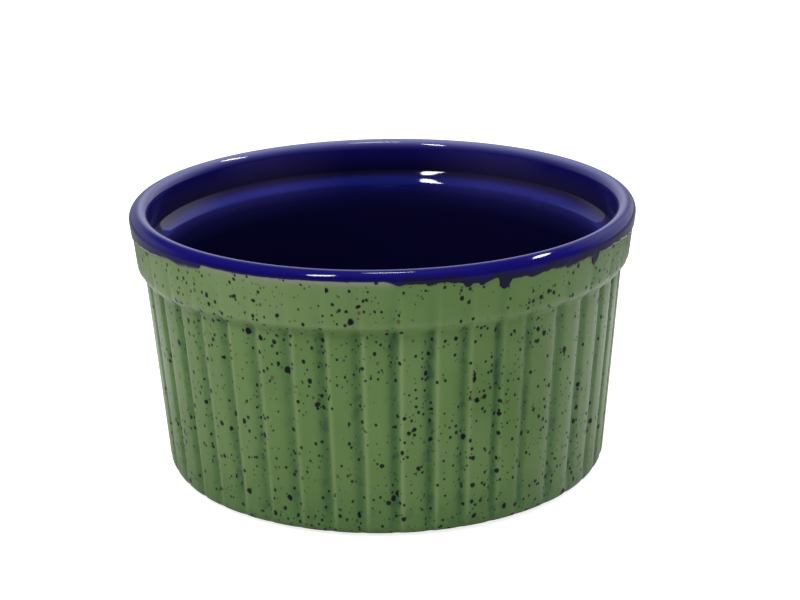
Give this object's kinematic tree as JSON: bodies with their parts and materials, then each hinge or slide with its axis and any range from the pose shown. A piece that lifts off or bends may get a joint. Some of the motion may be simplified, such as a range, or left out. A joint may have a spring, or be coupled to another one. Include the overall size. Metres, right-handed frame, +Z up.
{
  "type": "fluted oven ramekin",
  "caption": "Small round baking dish with fluted tapering wall, stepped collar under a rounded rim, foot ring, and separate blue and green glaze coats over a fired clay body.",
  "frame": {"origin": "on the axis of the cup, at the level of the table that the foot ring stands on", "axes": "+Z up along the axis of the cup; -Y is the front that the picture shows"},
  "size_m": [0.09, 0.09, 0.048],
  "materials": {
    "fired_clay": "matte",
    "blue_glaze": "gloss",
    "green_glaze": "satin gloss",
    "green_glaze_underside": "satin gloss"
  },
  "bodies": {
    "root": {"stoneware_body": "fired_clay", "liner_glaze": "blue_glaze", "outer_glaze": "green_glaze", "underside_glaze": "green_glaze_underside"}
  },
  "joints": []
}
